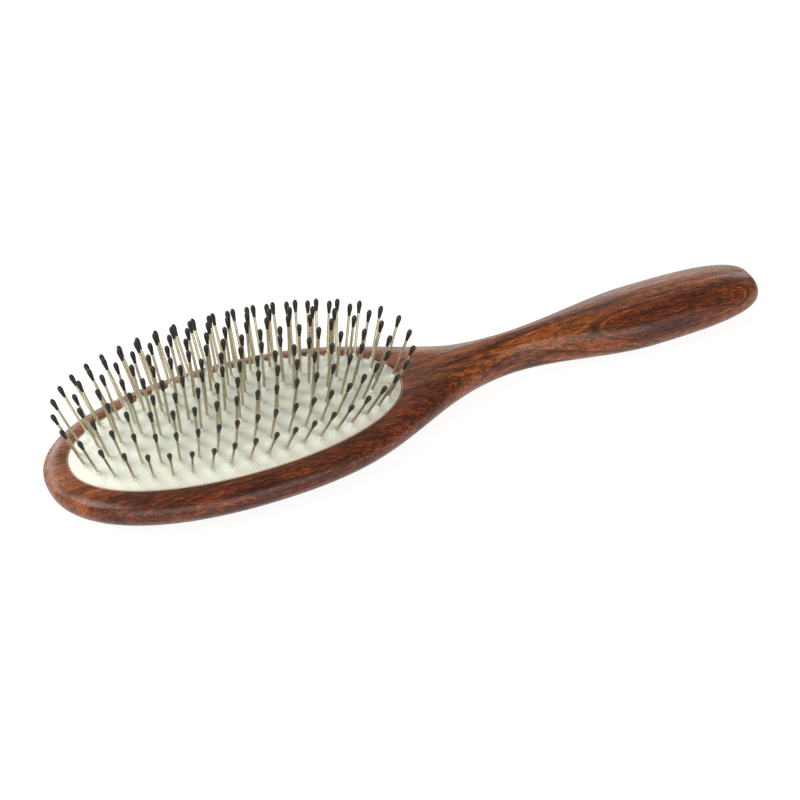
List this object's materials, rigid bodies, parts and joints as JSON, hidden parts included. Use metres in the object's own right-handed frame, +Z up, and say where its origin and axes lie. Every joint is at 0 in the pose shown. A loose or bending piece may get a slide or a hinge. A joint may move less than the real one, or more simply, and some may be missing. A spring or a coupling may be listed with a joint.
{
  "type": "cushioned pin hair brush",
  "caption": "Oval hair brush with a one-piece wooden head and handle, a domed rubber cushion and ball-tipped wire pins that sink into the cushion.",
  "frame": {"origin": "centre of the bounding box's base: mid-length of the brush, on the plane its back lies on", "axes": "+Z up, the way the pins point; +X along the brush from the head to the handle; +Y to its left, seen from the head"},
  "size_m": [0.2419, 0.0714, 0.0394],
  "materials": {
    "wood": "dark reddish-brown hardwood, satin lacquer",
    "cushion": "pale grey-green natural rubber with a fine woven imprint",
    "wire": "drawn wire, champagne brass plating",
    "tip": "charcoal-black moulded tip, satin"
  },
  "bodies": {
    "body": {"wood_body": "wood", "cushion_pad": "cushion"},
    "centre_row": {"pin_wires_centre_row": "wire", "pin_tips_centre_row": "tip"},
    "ring_1": {"pin_wires_ring_1": "wire", "pin_tips_ring_1": "tip"},
    "ring_2": {"pin_wires_ring_2": "wire", "pin_tips_ring_2": "tip"},
    "ring_3": {"pin_wires_ring_3": "wire", "pin_tips_ring_3": "tip"},
    "ring_4": {"pin_wires_ring_4": "wire", "pin_tips_ring_4": "tip"},
    "ring_5": {"pin_wires_ring_5": "wire", "pin_tips_ring_5": "tip"}
  },
  "joints": [
    {"name": "cushion_press", "type": "slide", "parent": "body", "child": "centre_row", "axis": [0, 0, -1], "range_m": [0, 0.004], "stiffness_N_per_m": 2500, "deforming": ["cushion_pad"]},
    {"name": "ring_1_sink", "type": "slide", "parent": "body", "child": "ring_1", "axis": [0, 0, -1], "range_m": [0, 0.00088]},
    {"name": "ring_2_sink", "type": "slide", "parent": "body", "child": "ring_2", "axis": [0, 0, -1], "range_m": [0, 0.002]},
    {"name": "ring_3_sink", "type": "slide", "parent": "body", "child": "ring_3", "axis": [0, 0, -1], "range_m": [0, 0.00292]},
    {"name": "ring_4_sink", "type": "slide", "parent": "body", "child": "ring_4", "axis": [0, 0, -1], "range_m": [0, 0.00352]},
    {"name": "ring_5_sink", "type": "slide", "parent": "body", "child": "ring_5", "axis": [0, 0, -1], "range_m": [0, 0.00384]}
  ],
  "couplings": [
    {"joint": "ring_1_sink", "follows": "cushion_press", "ratio": 0.22},
    {"joint": "ring_2_sink", "follows": "cushion_press", "ratio": 0.5},
    {"joint": "ring_3_sink", "follows": "cushion_press", "ratio": 0.73},
    {"joint": "ring_4_sink", "follows": "cushion_press", "ratio": 0.88},
    {"joint": "ring_5_sink", "follows": "cushion_press", "ratio": 0.96}
  ]
}
